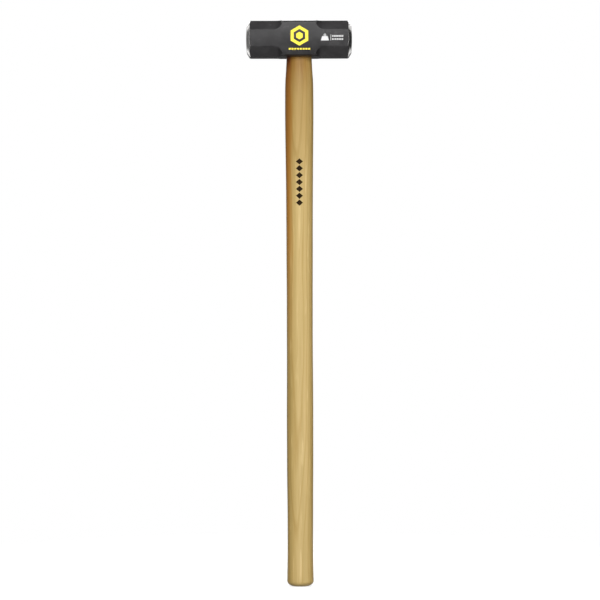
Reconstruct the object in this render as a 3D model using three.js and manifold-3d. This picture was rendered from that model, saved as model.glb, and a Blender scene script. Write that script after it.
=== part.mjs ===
// A double-faced sledge hammer: an octagonal forged head on a straight oval hickory handle.
// The handle's tongue passes through the head's eye, a wood wedge spreads it front to back, and
// two steel wedges driven across the wood wedge lock it.
//
// Frame: millimetres, +Z up, origin in the middle of the handle's butt. X runs along the head
// from one striking face to the other, and Y is the head's depth.

import * as THREE from 'three';
import { mergeVertices } from 'three/addons/utils/BufferGeometryUtils.js';
import Module from 'manifold-3d';

// ---- Driving dimensions ----

const overallLength = 900; // butt to the top of the head
const headLength = 168.6; // face to face
const headAcross = 58.75; // across the flats, and across the middle block
const facetLeg = 16.2; // what each 45 degree facet takes off a flat
const blockEdge = { rise: 4, inset: 14 }; // rounding of the middle block's long edges, in Z and Y
const runOutStart = 39.5; // from the head's middle to where a facet begins to rise to the block
const runOutRadius = 15;

const faceFlatRadius = 8; // flat spot in the middle of a striking face
const faceRadius = 22.4; // edge of the crowned striking face
const faceCrown = 1.2; // how far the face's middle stands out beyond its edge
const faceEdgeBlend = 1.2; // the face turns into its bevel over this much each side of its edge
const bevelAngle = THREE.MathUtils.degToRad(32); // of the ground bevel, from the face

const eyeBottom = { width: 40.6, depth: 31.8 };
const eyeWaist = { width: 36.6, depth: 27.4 };
const eyeTop = { width: 39.8, depth: 30.6 };

// The butt's edge is rounded: this far up, and this far in along the width.
const buttRounding = { rise: 8.5, inset: 12 };
// Width of the handle's bare length, at heights above the butt.
const handleWidths = [
  { height: buttRounding.rise, width: 42.3 },
  { height: 85, width: 40.5 },
  { height: 240, width: 42.1 },
  { height: 390, width: 41.4 },
  { height: 530, width: 42.0 },
  { height: 640, width: 42.9 },
  { height: 715, width: 44.6 },
  { height: 755, width: 45.1 },
  { height: 800, width: 44.4 },
  { height: 820, width: 42.2 },
];
const handleDepthRatio = 0.78; // depth over width
const ovalPower = 2.2; // 2 is a plain ellipse, and more is squarer

const gap = 0.3; // between neighbouring pieces

const woodWedge = { length: 46, thick: 7.0, tip: 1.4 };
const steelWedge = { length: 30, width: 20, thick: 3.6, tip: 0.8, steps: 3, barb: 0.35 };
const steelWedgeSpread = 8.5; // of each steel wedge from the eye's middle, along the head
const steelWedgeTurn = THREE.MathUtils.degToRad(24); // away from square across the head

// ---- Facets per curve ----

const ovalSides = 48;
const bareRings = 30;
const tongueRings = 8;
const turnedSides = 72;
const crownRings = 3;
const arcSteps = 7;

// ---- Dimensions that follow ----

const halfAcross = headAcross / 2;
const headMiddle = overallLength - halfAcross; // height of the head's long axis
const headUnderside = overallLength - headAcross;
const clear = 10; // how far a cutter runs past what it cuts
const eyePast = 1; // and how far the eye's own cutter does, because the eye flares

// ---- Solids ----

const wasm = await Module();
wasm.setup();

// A triangle whose corners meet in one point, as at a lathe's axis, has no area and is left out.
function toSolid(geometry) {
  const bare = geometry.clone();
  bare.deleteAttribute('normal');
  bare.deleteAttribute('uv');
  const { attributes, index } = mergeVertices(bare);
  const corners = [];
  for (let i = 0; i < index.count; i += 3) {
    const triangle = [index.getX(i), index.getX(i + 1), index.getX(i + 2)];
    if (new Set(triangle).size === 3) corners.push(...triangle);
  }
  return new wasm.Manifold(new wasm.Mesh({
    numProp: 3,
    vertProperties: new Float32Array(attributes.position.array),
    triVerts: new Uint32Array(corners),
  }));
}

function toGeometry(solid) {
  const { vertProperties, triVerts } = solid.getMesh();
  const geometry = new THREE.BufferGeometry();
  geometry.setAttribute('position', new THREE.BufferAttribute(vertProperties, 3));
  geometry.setIndex(new THREE.BufferAttribute(triVerts, 1));
  geometry.computeVertexNormals();
  return geometry;
}

// An outline in X and Y, pulled to a thickness that is centred on Z.
function slab(shape, thickness) {
  const settings = { depth: thickness, bevelEnabled: false, curveSegments: arcSteps };
  return new THREE.ExtrudeGeometry(shape, settings).translate(0, 0, -thickness / 2);
}

// How far the oval stands out beyond a plain ellipse in this direction. A middle point stays put.
function bulge(x, y) {
  const sum = Math.abs(x) ** ovalPower + Math.abs(y) ** ovalPower;
  return sum > 0 ? sum ** (-1 / ovalPower) : 1;
}

// A closed loft of oval sections. Rings run from the bottom up, each with a height, a halfWidth
// along X and a halfDepth along Y.
function ovalLoft(rings) {
  const spans = rings.length - 1;
  const geometry = new THREE.CylinderGeometry(1, 1, spans, ovalSides, spans);
  const position = geometry.rotateX(Math.PI / 2).attributes.position;
  for (let i = 0; i < position.count; i += 1) {
    const [x, y] = [position.getX(i), position.getY(i)];
    const ring = rings[Math.round(position.getZ(i) + spans / 2)];
    const grow = bulge(x, y);
    position.setXYZ(i, x * grow * ring.halfWidth, y * grow * ring.halfDepth, ring.height);
  }
  return geometry;
}

// ---- Head, centred on its own middle ----

// Square bar with rounded long edges, along X. The outline is drawn in height (X) and depth (Y).
function headBar() {
  const outline = new THREE.Shape();
  for (let quarter = 0; quarter < 4; quarter += 1) {
    const start = quarter * Math.PI / 2;
    const towards = start + Math.PI / 4;
    const x = Math.sign(Math.cos(towards)) * (halfAcross - blockEdge.rise);
    const y = Math.sign(Math.sin(towards)) * (halfAcross - blockEdge.inset);
    outline.absellipse(x, y, blockEdge.rise, blockEdge.inset, start, start + Math.PI / 2);
  }
  return slab(outline, headLength).rotateY(Math.PI / 2);
}

// What is cut off one long edge of the bar: a flat facet at each end, rising on an arc to leave
// the middle block. The outline is drawn along the head (X) and out towards the edge (Y).
function facetCutter() {
  const edgeOut = halfAcross * Math.SQRT2;
  const facetOut = edgeOut - facetLeg / Math.SQRT2;
  const end = headLength / 2 + clear;
  const arcMiddle = facetOut + runOutRadius;
  const outline = new THREE.Shape();
  outline.moveTo(-end, edgeOut + clear);
  outline.lineTo(-end, facetOut);
  outline.absarc(-runOutStart, arcMiddle, runOutRadius, -Math.PI / 2, 0);
  outline.absarc(runOutStart, arcMiddle, runOutRadius, Math.PI, Math.PI * 1.5);
  outline.lineTo(end, facetOut);
  outline.lineTo(end, edgeOut + clear);
  return slab(outline, headAcross);
}

// One end's profile from the axis out, as points of radius and distance from the head's middle.
function faceProfile() {
  const tip = headLength / 2;
  const crownRadius = faceRadius - faceEdgeBlend;
  const profile = [new THREE.Vector2(0, tip)];
  for (let ring = 0; ring <= crownRings; ring += 1) {
    const radius = THREE.MathUtils.lerp(faceFlatRadius, crownRadius, ring / crownRings);
    const out = (radius - faceFlatRadius) / (faceRadius - faceFlatRadius);
    profile.push(new THREE.Vector2(radius, tip - faceCrown * out ** 2));
  }
  for (const radius of [faceRadius + faceEdgeBlend, halfAcross * Math.SQRT2 + clear]) {
    const drop = (radius - faceRadius) * Math.tan(bevelAngle);
    profile.push(new THREE.Vector2(radius, tip - faceCrown - drop));
  }
  return profile;
}

// A turned blank whose two ends are the striking faces and their bevels, along X.
function turnedBlank() {
  const top = faceProfile().reverse();
  const bottom = faceProfile().map((point) => new THREE.Vector2(point.x, -point.y));
  return new THREE.LatheGeometry([...bottom, ...top], turnedSides).rotateZ(Math.PI / 2);
}

// The eye's half width and half depth at a height above the head's middle.
function eyeAt(height) {
  const mouth = height < 0 ? eyeBottom : eyeTop;
  const flare = (height / halfAcross) ** 2;
  return {
    halfWidth: THREE.MathUtils.lerp(eyeWaist.width, mouth.width, flare) / 2,
    halfDepth: THREE.MathUtils.lerp(eyeWaist.depth, mouth.depth, flare) / 2,
  };
}

// Oval rings that follow the eye, smaller by inset all round.
function eyeRings(from, to, inset) {
  return Array.from({ length: tongueRings + 1 }, (_, step) => {
    const height = THREE.MathUtils.lerp(from, to, step / tongueRings);
    const { halfWidth, halfDepth } = eyeAt(height);
    return { height, halfWidth: halfWidth - inset, halfDepth: halfDepth - inset };
  });
}

function headGeometry() {
  let head = toSolid(headBar()).intersect(toSolid(turnedBlank()));
  for (const corner of [1, 3, 5, 7]) {
    head = head.subtract(toSolid(facetCutter().rotateX((corner * Math.PI) / 4)));
  }
  const eyeEnd = halfAcross + eyePast;
  return toGeometry(head.subtract(toSolid(ovalLoft(eyeRings(-eyeEnd, eyeEnd, 0)))));
}

// ---- Wedges, each in the head's frame ----

const tongueTop = halfAcross; // the tongue and its wedges are sawn off flush with the head

// A tapered block, thick at the top, centred on the eye. It narrows along Y.
function taperedBlock({ length, thick, tip }, width, grow) {
  const outline = new THREE.Shape([
    new THREE.Vector2(thick / 2 + grow, tongueTop + clear),
    new THREE.Vector2(-thick / 2 - grow, tongueTop + clear),
    new THREE.Vector2(-thick / 2 - grow, tongueTop),
    new THREE.Vector2(-tip / 2 - grow, tongueTop - length - grow),
    new THREE.Vector2(tip / 2 + grow, tongueTop - length - grow),
    new THREE.Vector2(thick / 2 + grow, tongueTop),
  ]);
  const lying = slab(outline, width + 2 * grow);
  return lying.rotateX(Math.PI / 2).rotateZ(Math.PI / 2);
}

// Where a steel wedge stands: side is -1 for the left one and 1 for the right one.
function steelWedgePlace(side) {
  const turned = new THREE.Matrix4().makeRotationZ(Math.PI / 2 + side * steelWedgeTurn);
  return turned.setPosition(side * steelWedgeSpread, 0, 0);
}

// The slot that a steel wedge sits in, in the head's frame.
function steelWedgeSlot(side) {
  return toSolid(taperedBlock(steelWedge, steelWedge.width, gap).applyMatrix4(steelWedgePlace(side)));
}

// A steel wedge's outline steps inwards on the way down, and each step ends in a small barb.
function steelWedgeGeometry() {
  const { length, width, thick, tip, steps, barb } = steelWedge;
  const right = [];
  for (let step = 0; step < steps; step += 1) {
    const high = step / steps;
    const low = (step + 1) / steps;
    const topHalf = THREE.MathUtils.lerp(thick, tip, high) / 2;
    const bottomHalf = THREE.MathUtils.lerp(thick, tip, low) / 2 - (low < 1 ? barb : 0);
    right.push(new THREE.Vector2(topHalf, tongueTop - length * high));
    right.push(new THREE.Vector2(bottomHalf, tongueTop - length * low));
  }
  const left = right.map((point) => new THREE.Vector2(-point.x, point.y)).reverse();
  const outline = new THREE.Shape([...right, ...left]);
  return slab(outline, width).rotateX(Math.PI / 2).rotateZ(Math.PI / 2);
}

function tongueSolid(from) {
  return toSolid(ovalLoft(eyeRings(from, tongueTop, gap)));
}

function woodWedgeGeometry() {
  let wedge = toSolid(taperedBlock(woodWedge, eyeBottom.width, 0));
  wedge = wedge.intersect(tongueSolid(-halfAcross));
  return toGeometry(wedge.subtract(steelWedgeSlot(-1)).subtract(steelWedgeSlot(1)));
}

// ---- Handle, standing on its butt ----

// The butt's rounded edge, from its flat up to the handle's first width.
function buttRings() {
  const { width } = handleWidths[0];
  return Array.from({ length: arcSteps }, (_, step) => {
    const angle = ((step / arcSteps) * Math.PI) / 2;
    const halfWidth = width / 2 - buttRounding.inset * (1 - Math.sin(angle));
    const height = buttRounding.rise * (1 - Math.cos(angle));
    return { height, halfWidth, halfDepth: halfWidth * handleDepthRatio };
  });
}

// The bare length, on a smooth curve through the stated widths up to the eye's mouth.
function bareRingsUpTo(mouth) {
  const stations = handleWidths.map(({ height, width }) => new THREE.Vector2(height, width));
  stations.push(new THREE.Vector2(headUnderside, mouth.halfWidth * 2));
  const points = new THREE.SplineCurve(stations).getPoints(bareRings);
  return points.slice(0, -1).map((point) => ({
    height: point.x,
    halfWidth: point.y / 2,
    halfDepth: (point.y * handleDepthRatio) / 2,
  }));
}

function handleGeometry() {
  const tongue = eyeRings(-halfAcross, tongueTop, gap).map((ring) => ({
    ...ring,
    height: ring.height + headMiddle,
  }));
  const whole = toSolid(ovalLoft([...buttRings(), ...bareRingsUpTo(tongue[0]), ...tongue]));
  const woodSlot = toSolid(taperedBlock(woodWedge, eyeBottom.width, gap));
  const slots = woodSlot.add(steelWedgeSlot(-1)).add(steelWedgeSlot(1));
  return toGeometry(whole.subtract(slots.translate([0, 0, headMiddle])));
}

// ---- Materials ----

const paintedSteel = new THREE.MeshStandardMaterial({ color: 0x3f3e3f, roughness: 0.5, metalness: 0.2 });
const hickory = new THREE.MeshStandardMaterial({ color: 0xc29a63, roughness: 0.45, metalness: 0 });
const wedgeWood = new THREE.MeshStandardMaterial({ color: 0xd6b98a, roughness: 0.6, metalness: 0 });
const bareSteel = new THREE.MeshStandardMaterial({ color: 0x9a9a9c, roughness: 0.35, metalness: 1 });

// ---- Assembly ----

function piece(name, geometry, material) {
  const mesh = new THREE.Mesh(geometry, material);
  mesh.name = name;
  return mesh;
}

const hammer = new THREE.Group();
hammer.add(piece('hickory_handle', handleGeometry(), hickory));

const headGroup = new THREE.Group();
headGroup.position.z = headMiddle;
headGroup.add(piece('forged_head', headGeometry(), paintedSteel));
headGroup.add(piece('wood_wedge', woodWedgeGeometry(), wedgeWood));
for (const [name, side] of [['steel_wedge_left', -1], ['steel_wedge_right', 1]]) {
  const wedge = piece(name, steelWedgeGeometry(), bareSteel);
  wedge.applyMatrix4(steelWedgePlace(side));
  headGroup.add(wedge);
}
hammer.add(headGroup);

export default hammer;
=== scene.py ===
"""A double-faced sledge hammer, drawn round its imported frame.

Everything is in metres and in the frame's own axes: Z up the handle, X along the head, and the
camera looks along +Y. Each CAD piece is stood for by a finer mesh of the same size.
"""

import math

import bpy
import numpy as np
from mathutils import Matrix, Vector, noise


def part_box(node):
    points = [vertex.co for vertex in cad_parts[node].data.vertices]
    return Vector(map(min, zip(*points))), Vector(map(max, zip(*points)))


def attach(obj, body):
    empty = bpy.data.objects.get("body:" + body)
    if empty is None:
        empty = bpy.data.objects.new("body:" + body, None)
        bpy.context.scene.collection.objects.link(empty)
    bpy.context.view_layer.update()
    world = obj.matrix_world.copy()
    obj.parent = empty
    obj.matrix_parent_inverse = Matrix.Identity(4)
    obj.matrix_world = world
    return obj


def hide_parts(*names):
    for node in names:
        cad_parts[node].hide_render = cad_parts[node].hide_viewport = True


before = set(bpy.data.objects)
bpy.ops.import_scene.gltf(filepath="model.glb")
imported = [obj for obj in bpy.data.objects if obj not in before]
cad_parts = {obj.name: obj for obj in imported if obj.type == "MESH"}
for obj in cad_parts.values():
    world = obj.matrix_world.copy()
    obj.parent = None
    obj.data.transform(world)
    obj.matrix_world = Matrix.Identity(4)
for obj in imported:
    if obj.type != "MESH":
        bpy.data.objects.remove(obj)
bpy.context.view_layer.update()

# ---- Sizes from the frame ----

MM = 0.001
TURN = 2 * math.pi
QUARTER = TURN / 4
HEAD_LOW, HEAD_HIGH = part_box("forged_head")
WOOD_LOW, WOOD_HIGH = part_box("wood_wedge")
STEEL_LOW, STEEL_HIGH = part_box("steel_wedge_right")
HEAD_MIDDLE = (HEAD_LOW.z + HEAD_HIGH.z) / 2
HALF_ACROSS = (HEAD_HIGH.z - HEAD_LOW.z) / 2
HALF_LENGTH = (HEAD_HIGH.x - HEAD_LOW.x) / 2
HEAD_FRONT = HEAD_LOW.y
TONGUE_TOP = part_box("hickory_handle")[1].z

# ---- Sizes of the head ----

FACET_LEG = 16.2 * MM  # what each 45 degree facet takes off a flat
BLOCK_EDGE_RISE, BLOCK_EDGE_INSET = 4 * MM, 14 * MM  # of the block's rounded long edges
RUN_OUT_START = 39.5 * MM  # where a facet begins to rise to the middle block
RUN_OUT_RADIUS = 15 * MM
EDGE_BLEND = 0.6 * MM  # softness of the edges between flats and facets
FLAT_CROWN = 0.7 * MM  # how far a flat's middle stands out beyond its edges
FACE_RADIUS = 22.4 * MM
FACE_CROWN = 1.2 * MM
FACE_EDGE_BLEND = 1.0 * MM
BEVEL_SLOPE = math.tan(math.radians(32))
BEVEL_EDGE_BLEND = 0.7 * MM
BARREL_START = HALF_LENGTH - 14 * MM  # where the rings change from close to even spacing
FORGING_WAVES = ((22 * MM, 0.09 * MM), (7 * MM, 0.025 * MM))  # sizes and depths
HEAD_SIDES = 304
EDGE_RINGS = 6  # round each of the face's and the bevel's edges
FACE_RINGS = 12

# ---- Sizes of the eye, the tongue and the handle ----

EYE_BOTTOM = np.array([40.6, 31.8]) * MM
EYE_WAIST = np.array([36.6, 27.4]) * MM
EYE_TOP = np.array([39.8, 30.6]) * MM
EYE_CHAMFER = 0.8 * MM
OVAL_POWER = 2.2  # 2 is a plain ellipse, and more is squarer
MOUTH_GAP = 0.3 * MM  # round the handle where it enters the head
MOUTH_SHARE = 0.25  # of the way through the head, over which that gap narrows
PRESS_GAP = 0.06 * MM  # between pieces that are pressed together
EYE_SIDES, EYE_RINGS = 128, 25
HANDLE_SIDES = 112
HANDLE_STEP = 5 * MM
BUTT_RINGS, TONGUE_RINGS, TONGUE_EDGE_RINGS = 14, 24, 5
HANDLE_WAVE = 18 * MM, 0.2 * MM  # size and depth of its unevenness
WAVE_STRETCH = 4  # how many times longer the waves are than they are wide
WAVE_FADE = 10 * MM  # below the head, where the unevenness ends
BUTT_RISE, BUTT_INSET = 8.5 * MM, 12 * MM  # of the butt's rounded edge
TONGUE_EDGE = 0.7 * MM

# ---- Sizes of the wedges ----

WOOD_THICK, WOOD_TIP = 7.0 * MM, 1.4 * MM
STEEL_WIDTH, STEEL_THICK, STEEL_TIP = 20 * MM, 3.6 * MM, 0.8 * MM
STEEL_SPREAD = 8.5 * MM
STEEL_TURN = math.radians(24)
STEEL_STEPS, STEEL_BARB = 3, 0.35 * MM
STEEL_EDGE = 0.12 * MM
WOOD_RINGS, WOOD_END_POINTS = 20, 9
SLOT_RUN_ON = 2 * MM  # past the tongue's top


# ---- Mesh helpers ----

WELD_DISTANCE = 0.002 * MM  # points closer than this, where two cuts meet, become one
SHARP_ANGLE = math.radians(35)  # edges that turn by more than this are sharp


def make_object(name, points, faces):
    mesh = bpy.data.meshes.new(name)
    mesh.from_pydata([tuple(p) for p in points], [], faces)
    mesh.shade_smooth()
    return show(bpy.data.objects.new(name, mesh))


def show(made):
    """Puts a new object in the scene."""
    bpy.context.scene.collection.objects.link(made)
    return made


def closed_rings(name, rings):
    """A closed skin through rings of points, with a fan from each end ring's middle.

    Each ring turns right-handed about the way from the first ring to the last.
    """
    count, sides = rings.shape[:2]
    points = np.vstack([rings.reshape(-1, 3), rings[0].mean(0), rings[-1].mean(0)])
    first, last = count * sides, count * sides + 1
    top = first - sides
    faces = []
    for i in range(sides):
        j = (i + 1) % sides
        faces.append((first, j, i))
        faces.append((last, top + i, top + j))
        for low in range(0, top, sides):
            faces.append((low + i, low + j, low + sides + j, low + sides + i))
    return make_object(name, points, faces)


def apply_modifiers(piece):
    graph = bpy.context.evaluated_depsgraph_get()
    options = {"preserve_all_data_layers": True, "depsgraph": graph}
    mesh = bpy.data.meshes.new_from_object(piece.evaluated_get(graph), **options)
    piece.modifiers.clear()
    piece.data = mesh


def cut(piece, *cutters):
    """Takes the cutters out of piece for good, and removes them."""
    for cutter in cutters:
        step = piece.modifiers.new("cut", "BOOLEAN")
        step.operation = "DIFFERENCE"
        step.solver = "EXACT"
        step.material_mode = "TRANSFER"
        step.object = cutter
        apply_modifiers(piece)
        bpy.data.objects.remove(cutter)
    weld = piece.modifiers.new("weld", "WELD")
    weld.merge_threshold = WELD_DISTANCE
    apply_modifiers(piece)


def soften(piece, width, segments=2):
    """Rounds the sharp edges of a piece."""
    step = piece.modifiers.new("soften", "BEVEL")
    step.width = width
    step.segments = segments
    step.limit_method = "ANGLE"
    step.angle_limit = SHARP_ANGLE
    apply_modifiers(piece)


def crisp(piece):
    """Smooth shading, except over sharp edges."""
    piece.data.shade_smooth()
    piece.data.set_sharp_from_angle(angle=SHARP_ANGLE)


def denser_near(start, end, count, spots, width, gain, samples=4000):
    """count + 1 values from start to end, packed closer together near the spots."""
    fine = np.linspace(start, end, samples)
    density = 1 + sum(gain * np.exp(-(((fine - spot) / width) ** 2)) for spot in spots)
    total = np.concatenate([[0], np.cumsum((density[1:] + density[:-1]) / 2)])
    return np.interp(np.linspace(0, total[-1], count + 1), total, fine)


def between(start, end, steps):
    """Steps from just after start up to and including end, each as wide as the inputs."""
    return start + (end - start) * np.linspace(0, 1, steps + 1)[1:, None]


def bezier(start, corner, end, steps):
    """A rounded corner, from just after start up to and including end."""
    t = np.linspace(0, 1, steps + 1)[1:, None]
    return (1 - t) ** 2 * start + 2 * t * (1 - t) * corner + t**2 * end


def smooth_min(a, b, blend):
    """The lesser of two distances, with the change from one to the other rounded off."""
    near = np.maximum(blend - np.abs(a - b), 0) / blend
    return np.minimum(a, b) - near**2 * blend / 4


def waves(points, size, depth):
    """A gentle unevenness of the given size and depth, one value for each point."""
    flat = points.reshape(-1, 3) / size
    return depth * np.array([noise.noise(Vector(p)) for p in flat]).reshape(points.shape[:-1])


# ---- Head ----


def block_reach(angle):
    """From the long axis to the middle block's skin: a square with oval long edges."""
    up, aside = np.abs(np.sin(angle)), np.abs(np.cos(angle))
    flat = HALF_ACROSS / np.maximum(up, aside)
    rise, inset = BLOCK_EDGE_RISE, BLOCK_EDGE_INSET
    high, deep = HALF_ACROSS - rise, HALF_ACROSS - inset  # of an edge oval's middle
    square = (up / rise) ** 2 + (aside / inset) ** 2
    half = up * high / rise**2 + aside * deep / inset**2
    rest = (high / rise) ** 2 + (deep / inset) ** 2 - 1
    oval_edge = (half + np.sqrt(np.maximum(half**2 - square * rest, 0))) / square
    over_top = np.minimum(flat * aside / deep, 1)
    over_front = np.minimum(flat * up / high, 1)
    across = np.minimum(over_top, over_front)
    return np.where(across < 1, flat, oval_edge) - FLAT_CROWN * across**2


FACET_LEVEL = HALF_ACROSS * math.sqrt(2) - FACET_LEG / math.sqrt(2)


def facet_reach(x, angle):
    """From the long axis to a 45 degree facet, which rises on an arc towards the block."""
    into = np.clip(RUN_OUT_START - x, 0, RUN_OUT_RADIUS)
    rise = RUN_OUT_RADIUS - np.sqrt(RUN_OUT_RADIUS**2 - into**2)
    beyond = np.maximum(RUN_OUT_START - RUN_OUT_RADIUS - x, 0)
    return (FACET_LEVEL + rise + beyond) / np.cos(angle % QUARTER - QUARTER / 2)


def block_outline(angle):
    """How far along the head the run-outs meet the block, in each direction round it."""
    rise = block_reach(angle) * np.cos(angle % QUARTER - QUARTER / 2) - FACET_LEVEL
    rise = np.clip(rise, 0, RUN_OUT_RADIUS)
    return RUN_OUT_START - np.sqrt(2 * RUN_OUT_RADIUS * rise - rise**2)


def bevel_x(radius):
    """How far along the head the ground bevel is, at a distance from the head's axis."""
    return HALF_LENGTH - FACE_CROWN - (radius - FACE_RADIUS) * BEVEL_SLOPE


def head_half(angle):
    """Half of the head's skin, from the middle of a striking face to the head's middle.

    Three arrays, with a row for each ring: distance along the head, distance from its axis,
    and bareness, which is 1 on ground steel and -1 on paint.
    """
    every = np.ones((1, len(angle)))
    x, radius, bare = [], [], []

    def add(*ring):
        spread = np.broadcast_arrays(*ring, every)
        for kept, values in zip((x, radius, bare), spread):
            kept.append(values)

    crown = between(np.zeros(1), FACE_RADIUS - FACE_EDGE_BLEND, FACE_RINGS)
    crown_x = HALF_LENGTH - FACE_CROWN * (crown / FACE_RADIUS) ** 2
    add(crown_x, crown, 1)

    edge_end = FACE_RADIUS + FACE_EDGE_BLEND
    edge_x = bezier(crown_x[-1], HALF_LENGTH - FACE_CROWN, bevel_x(edge_end), EDGE_RINGS)
    add(edge_x, bezier(crown[-1], FACE_RADIUS, edge_end, EDGE_RINGS), 1)

    outer = smooth_min(block_reach(angle), facet_reach(HALF_LENGTH, angle), EDGE_BLEND)
    bevel = between(edge_end, outer - BEVEL_EDGE_BLEND, EDGE_RINGS)
    add(bevel_x(bevel), bevel, 1)

    corner_x = bevel_x(outer)
    shoulder_x = corner_x - BEVEL_EDGE_BLEND
    edge_x = bezier(bevel_x(bevel[-1]), corner_x, shoulder_x, EDGE_RINGS)
    turning_to_paint = np.linspace(0.5, -0.7, EDGE_RINGS)[:, None]
    add(edge_x, bezier(bevel[-1], outer, outer, EDGE_RINGS), turning_to_paint)
    add(between(shoulder_x, BARREL_START, EDGE_RINGS), outer, -1)

    # The rings are closest where the run-outs meet the block, and follow that outline there.
    outline = block_outline(angle)
    stops = [BARREL_START, RUN_OUT_START + 1.5 * MM, outline + MM, outline - MM, 0]
    for start, end, steps in zip(stops, stops[1:], (8, 16, 8, 14)):
        body_x = between(start * every[0], end * every[0], steps)
        reach = smooth_min(block_reach(angle), facet_reach(body_x, angle), EDGE_BLEND)
        add(body_x, reach, -1)
    return np.vstack(x), np.vstack(radius), np.vstack(bare)


def head_mesh():
    """The whole head without its eye, closer meshed along its long edges."""
    corner = math.atan((HALF_ACROSS - FACET_LEG) / HALF_ACROSS)
    spots = [k * QUARTER + side * corner for k in range(5) for side in (-1, 1)]
    angle = denser_near(0, TURN, HEAD_SIDES, spots, width=math.radians(1.8), gain=4)[:-1]
    half_x, half_radius, half_bare = head_half(angle)
    x = np.vstack([-half_x, half_x[-2::-1]])
    radius = np.vstack([half_radius, half_radius[-2::-1]])
    bare = np.vstack([half_bare, half_bare[-2::-1]])
    rings = np.stack([x, radius * np.cos(angle), radius * np.sin(angle)], axis=-1)
    forging = sum(waves(rings, size, depth) for size, depth in FORGING_WAVES)
    forging *= np.clip(-bare, 0, 1)
    rings[..., 1] += forging * np.cos(angle)
    rings[..., 2] += forging * np.sin(angle) + HEAD_MIDDLE
    head = closed_rings("head", rings)
    attribute = head.data.attributes.new("bare", "FLOAT", "POINT")
    attribute.data.foreach_set("value", np.append(bare, [1, 1]).astype(np.float32))
    return head


# ---- Ovals: the eye, the tongue and the handle ----


def oval(half, z, sides):
    """A ring of points at a height, with half its width and depth given."""
    turn = np.linspace(0, TURN, sides, endpoint=False)
    x, y = np.cos(turn), np.sin(turn)
    bulge = (np.abs(x) ** OVAL_POWER + np.abs(y) ** OVAL_POWER) ** (-1 / OVAL_POWER)
    return np.stack([x * bulge * half[0], y * bulge * half[1], x * 0 + z], axis=1)


def eye_half(z):
    """Half the eye's width and depth at a height."""
    mouth = EYE_BOTTOM if z < HEAD_MIDDLE else EYE_TOP
    flare = ((z - HEAD_MIDDLE) / HALF_ACROSS) ** 2
    return (EYE_WAIST * (1 - flare) + mouth * flare) / 2


def eye_cutter():
    """The eye's hollow, with a small chamfer at both mouths that runs on past the head."""
    run_on = 3 * EYE_CHAMFER
    low, high = HEAD_LOW.z + EYE_CHAMFER, HEAD_HIGH.z - EYE_CHAMFER
    rings = [oval(eye_half(low) + run_on, low - run_on, EYE_SIDES)]
    rings += [oval(eye_half(z), z, EYE_SIDES) for z in np.linspace(low, high, EYE_RINGS)]
    rings += [oval(eye_half(high) + run_on, high + run_on, EYE_SIDES)]
    return closed_rings("eye_cutter", np.array(rings))


def smooth_curve(x, known_x, known_y):
    """A smooth curve through known points, one row of known_y for each."""
    slope = np.gradient(known_y, known_x, axis=0)
    i = int(np.clip(np.searchsorted(known_x, x) - 1, 0, len(known_x) - 2))
    step = known_x[i + 1] - known_x[i]
    rise = known_y[i + 1] - known_y[i]
    t = (x - known_x[i]) / step
    bend_in, bend_out = slope[i] * step - rise, slope[i + 1] * step - rise
    return known_y[i] + t * rise + t * (1 - t) * ((1 - t) * bend_in - t * bend_out)


def bare_handle():
    """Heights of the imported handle's rings from the butt's edge to the head, and their halves."""
    points = np.array([v.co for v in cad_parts["hickory_handle"].data.vertices])
    heights = np.round(points[:, 2] / MM, 2)
    low, high = BUTT_RISE / MM - 0.1, HEAD_LOW.z / MM + 0.1
    levels = np.unique(heights[(heights > low) & (heights < high)])
    halves = [np.abs(points[heights == level, :2]).max(0) for level in levels]
    return levels * MM, np.array(halves)


def handle_mesh():
    """The handle from its rounded butt to the sawn top of its tongue."""
    levels, halves = bare_handle()
    rings = []
    for angle in np.linspace(0, QUARTER, BUTT_RINGS, endpoint=False):
        half = halves[0] * (1 - BUTT_INSET / halves[0][0] * (1 - math.sin(angle)))
        rings.append(oval(half, BUTT_RISE * (1 - math.cos(angle)), HANDLE_SIDES))
    for z in np.arange(BUTT_RISE, HEAD_LOW.z - MM, HANDLE_STEP):
        rings.append(oval(smooth_curve(z, levels, halves), z, HANDLE_SIDES))
    for z in np.linspace(HEAD_LOW.z, TONGUE_TOP - TONGUE_EDGE, TONGUE_RINGS):
        in_head = (z - HEAD_LOW.z) / (TONGUE_TOP - HEAD_LOW.z)
        gap = MOUTH_GAP + (PRESS_GAP - MOUTH_GAP) * min(1, in_head / MOUTH_SHARE)
        rings.append(oval(eye_half(z) - gap, z, HANDLE_SIDES))
    for angle in np.linspace(0, QUARTER, TONGUE_EDGE_RINGS + 1)[1:]:
        half = eye_half(TONGUE_TOP) - PRESS_GAP - TONGUE_EDGE * (1 - math.cos(angle))
        z = TONGUE_TOP - TONGUE_EDGE * (1 - math.sin(angle))
        rings.append(oval(half, z, HANDLE_SIDES))
    rings = np.array(rings)
    outward = rings * [1, 1, 0]
    outward /= np.linalg.norm(outward, axis=-1, keepdims=True)
    z = rings[..., 2]
    shown = np.clip(z / BUTT_RISE - 1, 0, 1) * np.clip((HEAD_LOW.z - z) / WAVE_FADE, 0, 1)
    drift = waves(rings * [1, 1, 1 / WAVE_STRETCH], *HANDLE_WAVE) * shown
    return closed_rings("handle", rings + outward * drift[..., None])


# ---- Wedges ----


def tapered_block(name, halves, low, high):
    """A closed block from low to high, with half sizes in X and Y at each end."""
    signs = np.array([[1, 1], [-1, 1], [-1, -1], [1, -1]])
    rings = [np.c_[signs * half, np.full(4, z)] for half, z in zip(halves, (low, high))]
    return closed_rings(name, np.array(rings))


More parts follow.
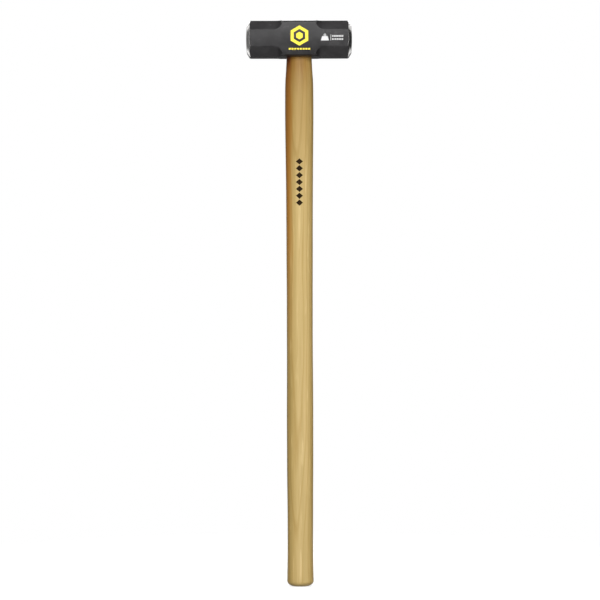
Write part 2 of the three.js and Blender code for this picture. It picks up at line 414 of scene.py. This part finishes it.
def past_the_top(name, halves, low):
    """A tapered block with the given halves at low and at the tongue's top, run on past it."""
    low_half, top_half = (np.array(half) for half in halves)
    run_on = 1 + SLOT_RUN_ON / (TONGUE_TOP - low)
    high_half = low_half + (top_half - low_half) * run_on
    return tapered_block(name, (low_half, high_half), low, low + (TONGUE_TOP - low) * run_on)


def wood_slot():
    """The kerf in the tongue that the wood wedge spreads."""
    long = EYE_BOTTOM[0]
    halves = ((long, WOOD_TIP / 2 + PRESS_GAP), (long, WOOD_THICK / 2 + PRESS_GAP))
    return past_the_top("wood_slot", halves, WOOD_LOW.z - PRESS_GAP)


def steel_slot(side):
    """The slit that a steel wedge has driven for itself."""
    halves = [(STEEL_WIDTH / 2 + PRESS_GAP, t / 2 + PRESS_GAP) for t in (STEEL_TIP, STEEL_THICK)]
    return turn_steel(past_the_top("steel_slot", halves, STEEL_LOW.z - PRESS_GAP), side)


def turn_steel(piece, side):
    """Turns a piece drawn along X so that it crosses the wood wedge, on one side of the eye."""
    turn = QUARTER + side * STEEL_TURN
    c, s = math.cos(turn), math.sin(turn)
    for v in piece.data.vertices:
        x, y, z = v.co
        v.co = (c * x - s * y + side * STEEL_SPREAD, s * x + c * y, z)
    return piece


def wood_wedge():
    """A tapered wedge whose ends follow the eye."""
    rings = []
    for z in np.linspace(WOOD_LOW.z, WOOD_HIGH.z, WOOD_RINGS):
        up = (z - WOOD_LOW.z) / (WOOD_HIGH.z - WOOD_LOW.z)
        half_y = (WOOD_TIP + (WOOD_THICK - WOOD_TIP) * up) / 2
        width, depth = eye_half(z) - PRESS_GAP
        y = np.linspace(-half_y, half_y, WOOD_END_POINTS)
        x = width * (1 - (np.abs(y) / depth) ** OVAL_POWER) ** (1 / OVAL_POWER)
        loop = np.c_[np.r_[x, -x[::-1]], np.r_[y, y[::-1]]]
        rings.append(np.c_[loop, np.full(len(loop), z)])
    wedge = closed_rings("wedge_wood", np.array(rings))
    cut(wedge, steel_slot(-1), steel_slot(1))
    crisp(wedge)
    return wedge


def steel_wedge(name, side):
    """A wedge that steps in on the way down, each step ending in a small barb."""
    rings = []
    for step in range(STEEL_STEPS, 0, -1):
        for share, barb in ((step / STEEL_STEPS, STEEL_BARB), ((step - 1) / STEEL_STEPS, 0)):
            thick = STEEL_THICK + (STEEL_TIP - STEEL_THICK) * share
            inset = barb if share < 1 else 0
            z = STEEL_HIGH.z + (STEEL_LOW.z - STEEL_HIGH.z) * share
            half_x, half_y = STEEL_WIDTH / 2 - inset, thick / 2 - inset
            loop = [(half_x, half_y), (-half_x, half_y), (-half_x, -half_y), (half_x, -half_y)]
            rings.append([(x, y, z) for x, y in loop])
    wedge = turn_steel(closed_rings(name, np.array(rings)), side)
    soften(wedge, STEEL_EDGE)
    crisp(wedge)
    return wedge


# ---- Marks ----

INK = 0.08 * MM  # how far print stands out of the head's flat
INK_ROOT = 0.2 * MM  # and how far it reaches in, so that no gap shows over uneven steel
EMBLEM_X, EMBLEM_Z = 0.6 * MM, 3.4 * MM  # all places are from the middle of the front flat
EMBLEM_RADII = 16 * MM, 10.5 * MM, 6 * MM  # of the hexagon, and of its ring outside and inside
EMBLEM_LINE_X, EMBLEM_LINE_Z = -16.4 * MM, -17.6 * MM
WEIGHT_X, WEIGHT_LOW, WEIGHT_HIGH = 40.85 * MM, -4.4 * MM, 2.4 * MM
WEIGHT_HALF_BASE, WEIGHT_HALF_TOP = 6.35 * MM, 4.35 * MM
LOOP_RISE = 2 * MM  # from the weight's top to the middle of its loop
LOOP_RADII, LOOP_SIDES = (1.9 * MM, 1.0 * MM), 24
BAR_X, BAR_Z, BAR_WIDTH, BAR_HEIGHT = 50.2 * MM, 0.1 * MM, 0.7 * MM, 9.4 * MM
LINES_X, HIGH_LINE_Z, LOW_LINE_Z = 52.4 * MM, 2.6 * MM, -2.4 * MM
DASH_HEIGHT = 2.6 * MM


def flat_print(name, loops):
    """Print on the head's front flat. A loop inside another is a hole in it."""
    curve = bpy.data.curves.new(name, "CURVE")
    curve.dimensions = "2D"
    curve.fill_mode = "BOTH"
    curve.extrude = (INK + INK_ROOT) / 2
    for loop in loops:
        spline = curve.splines.new("POLY")
        spline.points.add(len(loop) - 1)
        spline.use_cyclic_u = True
        for point, (x, z) in zip(spline.points, loop):
            point.co = (x, z, 0, 1)
    drawn = show(bpy.data.objects.new(name, curve))
    drawn.rotation_euler = (QUARTER, 0, 0)
    drawn.location = (0, HEAD_FRONT + (INK_ROOT - INK) / 2, HEAD_MIDDLE)
    bpy.context.view_layer.update()
    evaluated = drawn.evaluated_get(bpy.context.evaluated_depsgraph_get())
    mesh = bpy.data.meshes.new_from_object(evaluated)
    mesh.transform(drawn.matrix_world)
    bpy.data.objects.remove(drawn)
    return show(bpy.data.objects.new(name, mesh))


def polygon(x, z, radius, sides, start=0.0):
    turns = [start + TURN * k / sides for k in range(sides)]
    return [(x + radius * math.cos(t), z + radius * math.sin(t)) for t in turns]


def rectangle(x, z, width, height):
    signs = ((-1, -1), (1, -1), (1, 1), (-1, 1))
    return [(x + i * width / 2, z + j * height / 2) for i, j in signs]


def dashes(x, z, count, width, space):
    """A row of equal short bars that starts at x."""
    middles = [x + width / 2 + k * (width + space) for k in range(count)]
    return [rectangle(middle, z, width, DASH_HEIGHT) for middle in middles]


def emblem():
    """A plain yellow hexagon with a dark ring in it, over a broken line."""
    loops = [polygon(EMBLEM_X, EMBLEM_Z, radius, 6, QUARTER) for radius in EMBLEM_RADII]
    line = dashes(EMBLEM_LINE_X, EMBLEM_LINE_Z, count=8, width=3.2 * MM, space=1.2 * MM)
    return flat_print("print_emblem", loops + line)


def side_print():
    """A weight with a loop on top, a bar and two broken lines, all plain shapes."""
    base = [(WEIGHT_X + side * WEIGHT_HALF_BASE, WEIGHT_LOW) for side in (-1, 1)]
    top = [(WEIGHT_X + side * WEIGHT_HALF_TOP, WEIGHT_HIGH) for side in (1, -1)]
    loop_z = WEIGHT_HIGH + LOOP_RISE
    loop = [polygon(WEIGHT_X, loop_z, radius, LOOP_SIDES) for radius in LOOP_RADII]
    bar = rectangle(BAR_X, BAR_Z, BAR_WIDTH, BAR_HEIGHT)
    lines = dashes(LINES_X, HIGH_LINE_Z, count=7, width=1.8 * MM, space=0.8 * MM)
    lines += dashes(LINES_X, LOW_LINE_Z, count=5, width=2.4 * MM, space=1.3 * MM)
    return flat_print("print_side", [base + top, *loop, bar, *lines])


BURN_MIDDLE = 643 * MM
BURN_COUNT = 7
BURN_PITCH = 10.9 * MM
BURN_HALF_WIDTH = 5.6 * MM
BURN_HALF_HEIGHT = 5.0 * MM
BURN_DEPTH = 0.45 * MM
BURN_CLEAR = 3 * MM  # how far a cutter stands out in front of the handle
BURN_SLICES = 13
BURN_TIP = 0.04  # what is left of the height at the lozenge's two ends


def burn_cutter(z, levels, halves):
    """A lozenge that sinks into the handle's front and follows its curve."""
    half = smooth_curve(z, levels, halves)
    rings = []
    for x in np.linspace(-BURN_HALF_WIDTH, BURN_HALF_WIDTH, BURN_SLICES):
        reach = BURN_HALF_HEIGHT * max(BURN_TIP, 1 - abs(x) / BURN_HALF_WIDTH)
        low, high = z - reach, z + reach
        front = -half[1] * (1 - abs(x / half[0]) ** OVAL_POWER) ** (1 / OVAL_POWER)
        back, out = front + BURN_DEPTH, front - BURN_CLEAR
        rings.append([(x, back, low), (x, back, high), (x, out, high), (x, out, low)])
    return closed_rings("burn_cutter", np.array(rings))


# ---- Node helper ----


class Graph:
    """A short way to write the nodes of a material, or of a world given as owner.

    Values can be numbers or other nodes' outputs.
    """

    def __init__(self, name, owner=None):
        self.owner = owner or bpy.data.materials.new(name)
        self.owner.use_nodes = True
        self.tree = self.owner.node_tree
        self.tree.nodes.clear()

    def node(self, kind, inputs=(), **settings):
        made = self.tree.nodes.new(kind)
        for key, value in settings.items():
            setattr(made, key, value)
        for key, value in dict(inputs).items():
            socket = made.inputs[key]
            if isinstance(value, bpy.types.NodeSocket):
                self.tree.links.new(value, socket)
            else:
                socket.default_value = value
        return made

    def math(self, operation, a, b=0.0, c=0.0):
        return self.node("ShaderNodeMath", {0: a, 1: b, 2: c}, operation=operation).outputs[0]

    def blend(self, share, a, b):
        """a where share is 0, and b where it is 1."""
        return self.math("MULTIPLY_ADD", share, self.math("SUBTRACT", b, a), a)

    def ease(self, low, high, value):
        """0 at low, 1 at high, and smooth between."""
        inputs = {"Value": value, "From Min": low, "From Max": high}
        settings = {"interpolation_type": "SMOOTHSTEP"}
        return self.node("ShaderNodeMapRange", inputs, **settings).outputs["Result"]

    def length(self, a, b):
        """The long side of a right triangle."""
        return self.math("SQRT", self.math("MULTIPLY_ADD", a, a, self.math("MULTIPLY", b, b)))

    def position(self, stretch=(1, 1, 1)):
        """Where a point is in metres. Less than 1 along an axis draws a pattern out along it."""
        place = self.node("ShaderNodeTexCoord").outputs["Object"]
        inputs = {0: place, 1: stretch}
        return self.node("ShaderNodeVectorMath", inputs, operation="MULTIPLY").outputs[0]

    def axes(self, vector):
        split = self.node("ShaderNodeSeparateXYZ", {0: vector})
        return split.outputs[0], split.outputs[1], split.outputs[2]

    def noise(self, vector, scale, detail=3.0, roughness=0.5):
        inputs = {"Vector": vector, "Scale": scale, "Detail": detail, "Roughness": roughness}
        return self.node("ShaderNodeTexNoise", inputs).outputs["Fac"]

    def mix(self, share, a, b):
        inputs = {0: share, 6: a, 7: b}
        return self.node("ShaderNodeMix", inputs, data_type="RGBA").outputs[2]

    def ramp(self, value, stops):
        made = self.node("ShaderNodeValToRGB", {"Fac": value})
        while len(made.color_ramp.elements) < len(stops):
            made.color_ramp.elements.new(0.5)
        for element, (place, colour) in zip(made.color_ramp.elements, stops):
            element.position = place
            element.color = colour
        return made.outputs["Color"]

    def bump(self, height, distance, strength=1.0, normal=None):
        inputs = {"Height": height, "Distance": distance, "Strength": strength}
        if normal is not None:
            inputs["Normal"] = normal
        return self.node("ShaderNodeBump", inputs).outputs["Normal"]

    def principled(self, **inputs):
        """The usual shader, with its inputs' names written as plain words."""
        labels = {key: key.replace("_", " ").title().replace("Ior", "IOR") for key in inputs}
        named = {labels[key]: value for key, value in inputs.items()}
        return self.node("ShaderNodeBsdfPrincipled", named).outputs[0]

    def finish(self, shader):
        """Ends a material with its shader, and gives the material."""
        self.node("ShaderNodeOutputMaterial", {"Surface": shader})
        return self.owner

    def surface(self, **inputs):
        return self.finish(self.principled(**inputs))


def rgb(red, green, blue):
    return (red, green, blue, 1.0)


# ---- Materials ----

PAINT = rgb(0.019, 0.0182, 0.019)
PAINT_WORN = rgb(0.028, 0.027, 0.028)
PAINT_GLOSS = 0.14  # as the shader's specular level
PAINT_ROUGH = 0.22, 0.30  # where it is smoothest and roughest
STEEL_GLOSS = 0.5
STEEL_PALE = rgb(0.62, 0.61, 0.60)
STEEL_DULL = rgb(0.40, 0.39, 0.38)
STEEL_ROUGH = 0.16, 0.30
PAINT_RAGGED = 0.5  # how much of the change from bare to painted its edge wanders over


def head_material():
    """Satin charcoal paint over a forging, and steel ground in rings inside a ragged paint edge."""
    g = Graph("head_finish")
    place = g.position()
    x, y, z = g.axes(place)

    mottle = g.noise(place, 55, detail=4)
    orange_peel = g.noise(place, 650)
    paint = g.mix(g.ease(0.35, 0.7, mottle), PAINT, PAINT_WORN)

    radius = g.length(y, g.math("SUBTRACT", z, HEAD_MIDDLE))
    turned = g.node("ShaderNodeCombineXYZ", {0: radius, 1: g.math("MULTIPLY", x, 0.3)}).outputs[0]
    scratches = g.noise(turned, 2600, detail=2)
    steel = g.mix(g.ease(0.3, 0.7, g.noise(place, 120)), STEEL_DULL, STEEL_PALE)

    bare = g.node("ShaderNodeAttribute", attribute_name="bare").outputs["Fac"]
    wander = g.math("SUBTRACT", g.noise(place, 700, detail=2), 0.5)
    bare = g.math("MULTIPLY_ADD", wander, PAINT_RAGGED, bare)
    ground = g.math("GREATER_THAN", bare, 0.0)
    rough = g.blend(ground, g.blend(mottle, *PAINT_ROUGH), g.blend(scratches, *STEEL_ROUGH))
    return g.surface(
        base_color=g.mix(ground, paint, steel),
        metallic=ground,
        roughness=rough,
        specular_ior_level=g.blend(ground, PAINT_GLOSS, STEEL_GLOSS),
        normal=g.bump(g.blend(ground, orange_peel, scratches), 0.03 * MM, 0.5),
    )


TARNISH_DARK = rgb(0.16, 0.14, 0.13)
TARNISH_PALE = rgb(0.42, 0.40, 0.38)
TARNISH_ROUGH = 0.25, 0.55


def steel_material():
    """Plain steel with a faint tarnish, for the eye's wall and the wedges."""
    g = Graph("wedge_steel")
    place = g.position()
    spots = g.noise(place, 350, detail=4, roughness=0.65)
    colour = g.ramp(spots, [(0.3, TARNISH_DARK), (0.7, TARNISH_PALE)])
    rough = g.blend(spots, *TARNISH_ROUGH)
    normal = g.bump(g.noise(place, 1400), 0.04 * MM, 0.6)
    return g.surface(base_color=colour, metallic=1.0, roughness=rough, normal=normal)


WOOD_PALE = rgb(0.47, 0.34, 0.138)
WOOD_MID = rgb(0.415, 0.30, 0.114)
WOOD_LINE = rgb(0.35, 0.23, 0.068)
WOOD_FLECK = rgb(0.58, 0.435, 0.20)
WOOD_GLOSS = 0.18
WOOD_ROUGH = 0.4, 0.6  # between the pores and in them
LINE_SHARE, FIBRE_SHARE, PORE_SHARE, FLECK_SHARE = 0.5, 0.35, 0.4, 0.6
RING_SPACING = 3.4 * MM
RING_WANDER = 12 * MM
RING_LEAN = 0.16  # rise of the growth rings' planes across the handle
GRAIN_TILT = 0.009  # and along it
WEDGE_TILT = 0.3  # and along the wooden wedge


def growth_rings(g, tilt):
    """A sawtooth across the growth rings, which lie flat to the front and wander a little."""
    x, y, z = g.axes(g.position())
    wander = g.math("SUBTRACT", g.noise(g.position((1, 1, 0.12)), 28, detail=1.5), 0.5)
    depth = g.math("MULTIPLY_ADD", x, RING_LEAN, y)
    depth = g.math("MULTIPLY_ADD", z, -tilt, depth)
    depth = g.math("MULTIPLY_ADD", wander, RING_WANDER, depth)
    return g.math("FRACT", g.math("DIVIDE", depth, RING_SPACING))


def wood(g, tilt):
    """Wood's colour and its open pores: growth rings, broad streaks, fine fibres and pores."""
    phase = growth_rings(g, tilt)
    line = g.math("MAXIMUM", g.ease(0.82, 1.0, phase), g.ease(0.25, 0.0, phase))
    streak = g.noise(g.position((1, 1, 0.025)), 170, roughness=0.6)
    fibre = g.noise(g.position((1, 1, 0.02)), 900, roughness=0.6)
    fleck = g.noise(g.position((1, 1, 0.07)), 210, detail=2)
    pore = g.ease(0.6, 0.7, g.noise(g.position((1, 1, 0.03)), 2600, detail=2))
    pore = g.math("MULTIPLY", pore, g.blend(line, 0.2, 1.0))
    colour = g.mix(g.ease(0.35, 0.7, streak), WOOD_PALE, WOOD_MID)
    paler = g.math("MULTIPLY", g.ease(0.58, 0.72, fleck), FLECK_SHARE)
    colour = g.mix(paler, colour, WOOD_FLECK)
    darker = g.math("MULTIPLY", line, LINE_SHARE)
    darker = g.math("MULTIPLY_ADD", g.ease(0.45, 0.8, fibre), FIBRE_SHARE, darker)
    darker = g.math("MULTIPLY_ADD", pore, PORE_SHARE, darker)
    return g.mix(darker, colour, WOOD_LINE), pore


def tinted(g, share, colour, tint):
    """The colour multiplied by a tint, as far as share says."""
    inputs = {0: share, 6: colour, 7: tint}
    mixed = g.node("ShaderNodeMix", inputs, data_type="RGBA", blend_type="MULTIPLY")
    return mixed.outputs[2]


HEARTWOOD = rgb(0.42, 0.17, 0.012)
HEART_SHARE = 0.8
HEART_EDGE = -9 * MM, -17 * MM  # where across the handle it begins and is full
HEART_WANDER = 10 * MM
HEART_HEIGHTS = 300 * MM, 640 * MM
PALE_MIDDLE = 3 * MM  # the line down the front where the painted side shade begins
SIDE_SHADE_TINT, SIDE_SHADE_REACH = rgb(0.77, 0.72, 0.55), (4 * MM, 24 * MM)  # painted shade towards the handle's sides, and its distances from that line
UPPER_TINT, UPPER_HEIGHTS = rgb(0.78, 0.71, 0.58), (600 * MM, 790 * MM)
# Painted shade under the head: the neck is darker and browner
NECK_SHADE_TINT, NECK_SHADE_HEIGHTS = rgb(0.72, 0.56, 0.31), (770 * MM, 850 * MM)
# Painted shadow in the neck's corner just under the head, down the heartwood edge
MOUTH_SHADOW_TINT, MOUTH_SHADOW_HEIGHTS = rgb(0.5, 0.32, 0.18), (815 * MM, 842 * MM)
HALF_BROWN_AND_SHADE_EDGE = 5 * MM, 18 * MM  # the other edge, which takes only half of the brown and of the painted neck shade above it


def handle_material():
    """Lacquered hickory, browner towards the head, with heartwood down one edge, and with shade
    painted on its sides, under the head and at the mouth.
    """
    g = Graph("hickory")
    colour, pore = wood(g, GRAIN_TILT)
    x, _, z = g.axes(g.position())
    wander = g.math("SUBTRACT", g.noise(g.position((1, 1, 0.1)), 60), 0.5)
    edge = g.ease(*HEART_EDGE, g.math("MULTIPLY_ADD", wander, HEART_WANDER, x))
    heart = g.math("MULTIPLY", edge, g.ease(*HEART_HEIGHTS, z))
    colour = g.mix(g.math("MULTIPLY", heart, HEART_SHARE), colour, HEARTWOOD)
    off_middle = g.math("ABSOLUTE", g.math("SUBTRACT", x, PALE_MIDDLE))
    # Painted shade: the wood darkens towards the sides, where the light falls off.
    colour = tinted(g, g.ease(*SIDE_SHADE_REACH, off_middle), colour, SIDE_SHADE_TINT)
    brown_and_shade_share = g.blend(g.ease(*HALF_BROWN_AND_SHADE_EDGE, x), 1.0, 0.5)
    # Browner towards the head, then painted shade under the head and a painted shadow in the
    # mouth's corner.
    for across, heights, tint in (
        (brown_and_shade_share, UPPER_HEIGHTS, UPPER_TINT),
        (brown_and_shade_share, NECK_SHADE_HEIGHTS, NECK_SHADE_TINT),
        (edge, MOUTH_SHADOW_HEIGHTS, MOUTH_SHADOW_TINT),
    ):
        share = g.math("MULTIPLY", across, g.ease(*heights, z))
        colour = tinted(g, share, colour, tint)
    return g.surface(
        base_color=colour,
        roughness=g.blend(pore, *WOOD_ROUGH),
        specular_ior_level=WOOD_GLOSS,
        normal=g.bump(pore, -0.04 * MM, 0.6),
    )


CHAR = rgb(0.012, 0.006, 0.002)
CHAR_BROWN = rgb(0.035, 0.018, 0.005)


def char_material():
    """The scorched floor of the burned marks."""
    g = Graph("char")
    grain = g.noise(g.position((1, 1, 0.1)), 900)
    colour = g.mix(g.ease(0.4, 0.7, grain), CHAR, CHAR_BROWN)
    normal = g.bump(grain, 0.05 * MM)
    return g.surface(base_color=colour, roughness=0.9, normal=normal, specular_ior_level=0.1)


def wedge_wood_material():
    """The same wood without the handle's lacquer or its brown."""
    g = Graph("wedge_wood")
    colour, pore = wood(g, WEDGE_TILT)
    normal = g.bump(pore, -0.05 * MM)
    return g.surface(base_color=colour, roughness=0.7, normal=normal)


YELLOW, YELLOW_WORN = rgb(0.88, 0.72, 0.02), rgb(0.72, 0.56, 0.015)
WHITE, WHITE_WORN = rgb(0.62, 0.62, 0.62), rgb(0.38, 0.38, 0.38)


def print_material(name, colour, worn):
    """Pad-printed ink, a little uneven and worn."""
    g = Graph(name)
    patch = g.noise(g.position(), 500, detail=4, roughness=0.6)
    shade = g.mix(g.ease(0.55, 0.8, patch), colour, worn)
    normal = g.bump(g.noise(g.position(), 1500, detail=2), 0.02 * MM, 0.4)
    return g.surface(base_color=shade, roughness=0.5, normal=normal)


FLOOR_RADIUS = 0.9
FLOOR_THICK = 4 * MM
FLOOR_SIDES = 96
FLOOR_FADE = 0.35 * FLOOR_RADIUS, 0.97 * FLOOR_RADIUS
FLOOR_GREY, FLOOR_PALE = rgb(0.44, 0.44, 0.44), rgb(0.48, 0.48, 0.48)
FLOOR_GLOW = 0.63


def floor_material():
    """Nearly white, with only a faint shadow, and fading out towards the rim."""
    g = Graph("pale_floor")
    place = g.position()
    x, y, _ = g.axes(place)
    shaded = g.principled(
        base_color=g.mix(g.noise(place, 40, detail=2), FLOOR_GREY, FLOOR_PALE),
        roughness=0.9,
        specular_ior_level=0.1,
        emission_color=rgb(1, 1, 1),
        emission_strength=FLOOR_GLOW,
    )
    clear = g.node("ShaderNodeBsdfTransparent").outputs[0]
    fade = g.ease(*FLOOR_FADE, g.length(x, y))
    return g.finish(g.node("ShaderNodeMixShader", {0: fade, 1: shaded, 2: clear}).outputs[0])


# ---- Assembly ----


def dress(piece, material):
    """Gives a piece one material all over."""
    piece.data.materials.clear()
    piece.data.materials.append(material)
    return piece


def hang(piece, node=None):
    """Joins a piece to the tool, and hides the CAD node that it stands for, if any."""
    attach(piece, "root")
    if node:
        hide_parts(node)


def build_head(steel):
    head = dress(head_mesh(), head_material())
    cut(head, dress(eye_cutter(), steel))
    crisp(head)
    hang(head, "forged_head")


def build_handle():
    wood, char = handle_material(), char_material()
    handle = dress(handle_mesh(), wood)
    levels, halves = bare_handle()
    for k in range(BURN_COUNT):
        z = BURN_MIDDLE + (k - (BURN_COUNT - 1) / 2) * BURN_PITCH
        cut(handle, dress(burn_cutter(z, levels, halves), char))
    slots = (wood_slot(), steel_slot(-1), steel_slot(1))
    cut(handle, *(dress(slot, wood) for slot in slots))
    crisp(handle)
    hang(handle, "hickory_handle")


def build_wedges(steel):
    hang(dress(wood_wedge(), wedge_wood_material()), "wood_wedge")
    for name, side in (("left", -1), ("right", 1)):
        wedge = dress(steel_wedge("wedge_steel_" + name, side), steel)
        hang(wedge, "steel_wedge_" + name)


def build_marks():
    yellow = print_material("yellow_ink", YELLOW, YELLOW_WORN)
    white = print_material("white_ink", WHITE, WHITE_WORN)
    hang(dress(emblem(), yellow))
    hang(dress(side_print(), white))


# ---- Studio ----

CAMERA_DISTANCE = 3.64
CAMERA_HEIGHT = 0.4558
CAMERA_SIDE = 0.4 * MM
CAMERA_ROLL = math.radians(0.15)
CAMERA_LENS, CAMERA_SENSOR = 137, 36  # in millimetres, as Blender wants them
SKY_LEFT, SKY_RIGHT = 0.24, 0.03


def circle(radius, z):
    turn = np.linspace(0, TURN, FLOOR_SIDES, endpoint=False)
    return np.stack([radius * np.cos(turn), radius * np.sin(turn), turn * 0 + z], axis=1)


def floor():
    """A pale disc with its top at the butt, which throws no light on matt surfaces."""
    rings = [circle(FLOOR_RADIUS, -FLOOR_THICK), circle(FLOOR_RADIUS, 0.0)]
    disc = dress(closed_rings("floor", np.array(rings)), floor_material())
    disc.visible_diffuse = False
    crisp(disc)


def softbox(name, at, height, size, watts, matt=True, mirrored=True):
    """A rectangular lamp at a place, turned to a height on the handle's axis.

    It can be kept from lighting matt surfaces, or from being mirrored in glossy ones.
    """
    lamp = bpy.data.lights.new(name, "AREA")
    lamp.shape = "RECTANGLE"
    lamp.size, lamp.size_y = size
    lamp.energy = watts
    made = show(bpy.data.objects.new(name, lamp))
    made.location = at
    aim = Vector((0, 0, height)) - Vector(at)
    made.rotation_euler = aim.to_track_quat("-Z", "Y").to_euler()
    made.visible_camera = False
    made.visible_diffuse = matt
    made.visible_glossy = mirrored


def studio_lights():
    head = HEAD_MIDDLE
    softbox("key", (0.15, -2.9, 2.04), 0.55, size=(2.0, 1.6), watts=102)
    softbox("low_fill", (0.2, -1.4, 0.1), 0.15, size=(1.6, 0.4), watts=12)
    softbox("side_fill", (1.8, -1.2, 0.5), 0.45, size=(0.5, 1.2), watts=6)
    softbox("overhead", (0, -0.3, 2.6), head, size=(1.6, 0.3), watts=15)
    softbox("back_top", (0, 2.4, 1.9), head, size=(2.0, 0.9), watts=20)
    softbox("back_key", (-0.2, 2.9, 1.6), 0.55, size=(2.0, 1.6), watts=85, mirrored=False)
    for side in (-1, 1):
        softbox("rim_high", (side * 1.3, 1.6, 1.6), head, size=(0.6, 0.5), watts=1.5)
        softbox("rim_low", (side * 1.2, 1.5, 0.5), head, size=(0.6, 0.4), watts=1)
        softbox("face", (side * 1.8, -0.5, 0.95), head, size=(1.0, 1.0), watts=3.5, matt=False)


def sky():
    """White to the camera. As a light it is a softer grey, and darker to the right."""
    world = bpy.data.worlds.new("studio")
    bpy.context.scene.world = world
    g = Graph("studio", world)
    x, _, _ = g.axes(g.node("ShaderNodeTexCoord").outputs["Generated"])
    glow = g.blend(g.ease(-1, 1, x), SKY_LEFT, SKY_RIGHT)
    white = {"Color": rgb(1, 1, 1)}
    lit = g.node("ShaderNodeBackground", {"Strength": glow, **white}).outputs[0]
    seen = g.node("ShaderNodeBackground", white).outputs[0]
    direct = g.node("ShaderNodeLightPath").outputs["Is Camera Ray"]
    mixed = g.node("ShaderNodeMixShader", {0: direct, 1: lit, 2: seen}).outputs[0]
    g.node("ShaderNodeOutputWorld", {"Surface": mixed})


def camera():
    """A long lens, square on to the tool and level with its middle."""
    data = bpy.data.cameras.new("camera")
    data.lens = CAMERA_LENS
    data.sensor_width = CAMERA_SENSOR
    made = show(bpy.data.objects.new("camera", data))
    made.location = (CAMERA_SIDE, -CAMERA_DISTANCE, CAMERA_HEIGHT)
    made.rotation_euler = (QUARTER, CAMERA_ROLL, 0)
    bpy.context.scene.camera = made


wedge_steel = steel_material()
build_head(wedge_steel)
build_handle()
build_wedges(wedge_steel)
build_marks()
floor()
studio_lights()
sky()
camera()
bpy.context.scene.view_settings.view_transform = "Standard"
